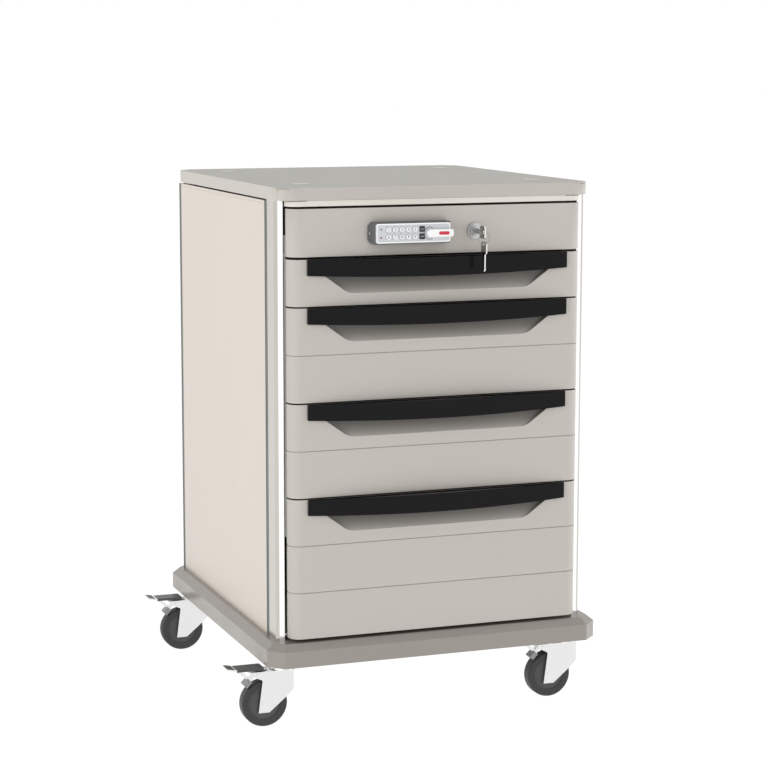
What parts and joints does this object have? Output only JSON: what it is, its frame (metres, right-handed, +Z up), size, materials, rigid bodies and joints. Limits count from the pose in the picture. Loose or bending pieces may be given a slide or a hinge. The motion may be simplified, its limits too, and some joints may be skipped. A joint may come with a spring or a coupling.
{
  "type": "medication cart",
  "caption": "Under-counter medication cart on braked swivel casters, with bowed-handle drawers under a locked header, a bevelled bumper base and a flat worktop.",
  "frame": {"origin": "on the floor, under the middle of the bounding box; the cabinet's centre plane is 29.9 mm to +X of it, because the brake pedals reach out on the -X side", "axes": "+Z up, +Y from the drawer fronts to the back panel, +X to the right of a person who faces the drawers"},
  "size_m": [0.6338, 0.6674, 0.8691],
  "materials": {
    "beige_plastic": "fine textured moulding",
    "cream_panel": "smooth powder coat",
    "taupe_plastic": "semi-gloss moulding",
    "black_plastic": "polished",
    "post_aluminium": "bright anodised",
    "zinc_steel": "bright zinc plate",
    "inner_steel": "grey powder coat",
    "seal_rubber": "matt",
    "housing_plastic": "fine textured moulding",
    "button_plastic": "smooth",
    "dark_button": "smooth",
    "lock_metal": "satin",
    "lever_plastic": "gloss white over die-cast zinc",
    "wheel_rubber": "matt"
  },
  "bodies": {
    "cabinet": {"base_bumper": "taupe_plastic", "inner_frame": "inner_steel", "corner_posts": "post_aluminium", "side_panel_left": "cream_panel", "side_panel_right": "cream_panel", "back_panel": "cream_panel", "panel_seals": "seal_rubber", "worktop": "beige_plastic", "header_rail": "cream_panel", "lock_fascia": "beige_plastic", "slide_rails": "zinc_steel", "caster_plates": "zinc_steel", "keypad_housing": "housing_plastic", "keypad_faceplate": "lock_metal", "lock_barrel": "lock_metal"},
    "lock_lever": {"lock_lever": "lever_plastic"},
    "lock_bar": {"lock_bar": "inner_steel"},
    "key_plug": {"key_plug": "lock_metal"},
    "key": {"key": "lock_metal"},
    "spare_key": {"spare_key": "lock_metal"},
    "drawer_1": {"drawer_front_1": "beige_plastic", "drawer_handle_1": "black_plastic", "drawer_tub_1": "zinc_steel"},
    "middle_slides_1": {"middle_slides_1": "zinc_steel"},
    "drawer_2": {"drawer_front_2": "beige_plastic", "drawer_handle_2": "black_plastic", "drawer_tub_2": "zinc_steel"},
    "middle_slides_2": {"middle_slides_2": "zinc_steel"},
    "drawer_3": {"drawer_front_3": "beige_plastic", "drawer_handle_3": "black_plastic", "drawer_tub_3": "zinc_steel"},
    "middle_slides_3": {"middle_slides_3": "zinc_steel"},
    "drawer_4": {"drawer_front_4": "beige_plastic", "drawer_handle_4": "black_plastic", "drawer_tub_4": "zinc_steel"},
    "middle_slides_4": {"middle_slides_4": "zinc_steel"},
    "digit_button_0": {"digit_button_0": "button_plastic"},
    "digit_button_1": {"digit_button_1": "button_plastic"},
    "digit_button_2": {"digit_button_2": "button_plastic"},
    "digit_button_3": {"digit_button_3": "button_plastic"},
    "digit_button_4": {"digit_button_4": "button_plastic"},
    "digit_button_5": {"digit_button_5": "button_plastic"},
    "digit_button_6": {"digit_button_6": "button_plastic"},
    "digit_button_7": {"digit_button_7": "button_plastic"},
    "digit_button_8": {"digit_button_8": "button_plastic"},
    "digit_button_9": {"digit_button_9": "button_plastic"},
    "enter_button": {"enter_button": "dark_button"},
    "clear_button": {"clear_button": "dark_button"},
    "swivel_front_left": {"caster_fork_front_left": "zinc_steel"},
    "wheel_front_left": {"caster_wheel_front_left": "wheel_rubber"},
    "brake_front_left": {"brake_pedal_front_left": "zinc_steel"},
    "swivel_front_right": {"caster_fork_front_right": "zinc_steel"},
    "wheel_front_right": {"caster_wheel_front_right": "wheel_rubber"},
    "brake_front_right": {"brake_pedal_front_right": "zinc_steel"},
    "swivel_rear_left": {"caster_fork_rear_left": "zinc_steel"},
    "wheel_rear_left": {"caster_wheel_rear_left": "wheel_rubber"},
    "brake_rear_left": {"brake_pedal_rear_left": "zinc_steel"},
    "swivel_rear_right": {"caster_fork_rear_right": "zinc_steel"},
    "wheel_rear_right": {"caster_wheel_rear_right": "wheel_rubber"},
    "brake_rear_right": {"brake_pedal_rear_right": "zinc_steel"}
  },
  "joints": [
    {"name": "drawer_1_slide", "type": "slide", "parent": "cabinet", "child": "drawer_1", "axis": [0, -1, 0], "range_m": [0, 0.46]},
    {"name": "middle_slides_1_slide", "type": "slide", "parent": "cabinet", "child": "middle_slides_1", "axis": [0, -1, 0], "range_m": [0, 0.23]},
    {"name": "drawer_2_slide", "type": "slide", "parent": "cabinet", "child": "drawer_2", "axis": [0, -1, 0], "range_m": [0, 0.46]},
    {"name": "middle_slides_2_slide", "type": "slide", "parent": "cabinet", "child": "middle_slides_2", "axis": [0, -1, 0], "range_m": [0, 0.23]},
    {"name": "drawer_3_slide", "type": "slide", "parent": "cabinet", "child": "drawer_3", "axis": [0, -1, 0], "range_m": [0, 0.46]},
    {"name": "middle_slides_3_slide", "type": "slide", "parent": "cabinet", "child": "middle_slides_3", "axis": [0, -1, 0], "range_m": [0, 0.23]},
    {"name": "drawer_4_slide", "type": "slide", "parent": "cabinet", "child": "drawer_4", "axis": [0, -1, 0], "range_m": [0, 0.46]},
    {"name": "middle_slides_4_slide", "type": "slide", "parent": "cabinet", "child": "middle_slides_4", "axis": [0, -1, 0], "range_m": [0, 0.23]},
    {"name": "lock_bar_lift", "type": "slide", "parent": "cabinet", "child": "lock_bar", "axis": [0, 0, 1], "range_m": [0, 0.0198]},
    {"name": "lock_lever_turn", "type": "hinge", "parent": "cabinet", "child": "lock_lever", "pos_m": [0.005, -0.2823, 0.7947], "axis": [0, -1, 0], "range_deg": [0, 90]},
    {"name": "key_plug_turn", "type": "hinge", "parent": "cabinet", "child": "key_plug", "pos_m": [0.0899, -0.2823, 0.795], "axis": [0, -1, 0], "range_deg": [0, 90]},
    {"name": "key_withdraw", "type": "slide", "parent": "key_plug", "child": "key", "axis": [0, -1, 0], "range_m": [0, 0.035]},
    {"name": "spare_key_swing", "type": "hinge", "parent": "key", "child": "spare_key", "pos_m": [0.0899, -0.3237, 0.795], "axis": [1, 0, 0], "range_deg": [-60, 15]},
    {"name": "digit_button_0_press", "type": "slide", "parent": "cabinet", "child": "digit_button_0", "axis": [0, 1, 0], "range_m": [0, 0.0008], "stiffness_N_per_m": 400, "springref_m": -0.0005},
    {"name": "digit_button_1_press", "type": "slide", "parent": "cabinet", "child": "digit_button_1", "axis": [0, 1, 0], "range_m": [0, 0.0008], "stiffness_N_per_m": 400, "springref_m": -0.0005},
    {"name": "digit_button_2_press", "type": "slide", "parent": "cabinet", "child": "digit_button_2", "axis": [0, 1, 0], "range_m": [0, 0.0008], "stiffness_N_per_m": 400, "springref_m": -0.0005},
    {"name": "digit_button_3_press", "type": "slide", "parent": "cabinet", "child": "digit_button_3", "axis": [0, 1, 0], "range_m": [0, 0.0008], "stiffness_N_per_m": 400, "springref_m": -0.0005},
    {"name": "digit_button_4_press", "type": "slide", "parent": "cabinet", "child": "digit_button_4", "axis": [0, 1, 0], "range_m": [0, 0.0008], "stiffness_N_per_m": 400, "springref_m": -0.0005},
    {"name": "digit_button_5_press", "type": "slide", "parent": "cabinet", "child": "digit_button_5", "axis": [0, 1, 0], "range_m": [0, 0.0008], "stiffness_N_per_m": 400, "springref_m": -0.0005},
    {"name": "digit_button_6_press", "type": "slide", "parent": "cabinet", "child": "digit_button_6", "axis": [0, 1, 0], "range_m": [0, 0.0008], "stiffness_N_per_m": 400, "springref_m": -0.0005},
    {"name": "digit_button_7_press", "type": "slide", "parent": "cabinet", "child": "digit_button_7", "axis": [0, 1, 0], "range_m": [0, 0.0008], "stiffness_N_per_m": 400, "springref_m": -0.0005},
    {"name": "digit_button_8_press", "type": "slide", "parent": "cabinet", "child": "digit_button_8", "axis": [0, 1, 0], "range_m": [0, 0.0008], "stiffness_N_per_m": 400, "springref_m": -0.0005},
    {"name": "digit_button_9_press", "type": "slide", "parent": "cabinet", "child": "digit_button_9", "axis": [0, 1, 0], "range_m": [0, 0.0008], "stiffness_N_per_m": 400, "springref_m": -0.0005},
    {"name": "enter_button_press", "type": "slide", "parent": "cabinet", "child": "enter_button", "axis": [0, 1, 0], "range_m": [0, 0.0008], "stiffness_N_per_m": 400, "springref_m": -0.0005},
    {"name": "clear_button_press", "type": "slide", "parent": "cabinet", "child": "clear_button", "axis": [0, 1, 0], "range_m": [0, 0.0008], "stiffness_N_per_m": 400, "springref_m": -0.0005},
    {"name": "front_left_swivel", "type": "hinge", "parent": "cabinet", "child": "swivel_front_left", "pos_m": [-0.2209, -0.2329, 0.09], "axis": [0, 0, 1], "continuous": true},
    {"name": "front_left_wheel_spin", "type": "hinge", "parent": "swivel_front_left", "child": "wheel_front_left", "pos_m": [-0.2529, -0.2329, 0.0381], "axis": [0, 1, 0], "continuous": true},
    {"name": "front_left_brake", "type": "hinge", "parent": "swivel_front_left", "child": "brake_front_left", "pos_m": [-0.2669, -0.2329, 0.088], "axis": [0, -1, 0], "range_deg": [0, 4]},
    {"name": "front_right_swivel", "type": "hinge", "parent": "cabinet", "child": "swivel_front_right", "pos_m": [0.2807, -0.2329, 0.09], "axis": [0, 0, 1], "continuous": true},
    {"name": "front_right_wheel_spin", "type": "hinge", "parent": "swivel_front_right", "child": "wheel_front_right", "pos_m": [0.2487, -0.2329, 0.0381], "axis": [0, 1, 0], "continuous": true},
    {"name": "front_right_brake", "type": "hinge", "parent": "swivel_front_right", "child": "brake_front_right", "pos_m": [0.2347, -0.2329, 0.088], "axis": [0, -1, 0], "range_deg": [0, 4]},
    {"name": "rear_left_swivel", "type": "hinge", "parent": "cabinet", "child": "swivel_rear_left", "pos_m": [-0.2209, 0.2701, 0.09], "axis": [0, 0, 1], "continuous": true},
    {"name": "rear_left_wheel_spin", "type": "hinge", "parent": "swivel_rear_left", "child": "wheel_rear_left", "pos_m": [-0.2529, 0.2701, 0.0381], "axis": [0, 1, 0], "continuous": true},
    {"name": "rear_left_brake", "type": "hinge", "parent": "swivel_rear_left", "child": "brake_rear_left", "pos_m": [-0.2669, 0.2701, 0.088], "axis": [0, -1, 0], "range_deg": [0, 4]},
    {"name": "rear_right_swivel", "type": "hinge", "parent": "cabinet", "child": "swivel_rear_right", "pos_m": [0.2807, 0.2701, 0.09], "axis": [0, 0, 1], "continuous": true},
    {"name": "rear_right_wheel_spin", "type": "hinge", "parent": "swivel_rear_right", "child": "wheel_rear_right", "pos_m": [0.2487, 0.2701, 0.0381], "axis": [0, 1, 0], "continuous": true},
    {"name": "rear_right_brake", "type": "hinge", "parent": "swivel_rear_right", "child": "brake_rear_right", "pos_m": [0.2347, 0.2701, 0.088], "axis": [0, -1, 0], "range_deg": [0, 4]}
  ],
  "couplings": [
    {"joint": "middle_slides_1_slide", "follows": "drawer_1_slide", "ratio": 0.5},
    {"joint": "middle_slides_2_slide", "follows": "drawer_2_slide", "ratio": 0.5},
    {"joint": "middle_slides_3_slide", "follows": "drawer_3_slide", "ratio": 0.5},
    {"joint": "middle_slides_4_slide", "follows": "drawer_4_slide", "ratio": 0.5},
    {"joint": "lock_lever_turn", "follows": "lock_bar_lift", "rad_per_m": 79.33}
  ]
}
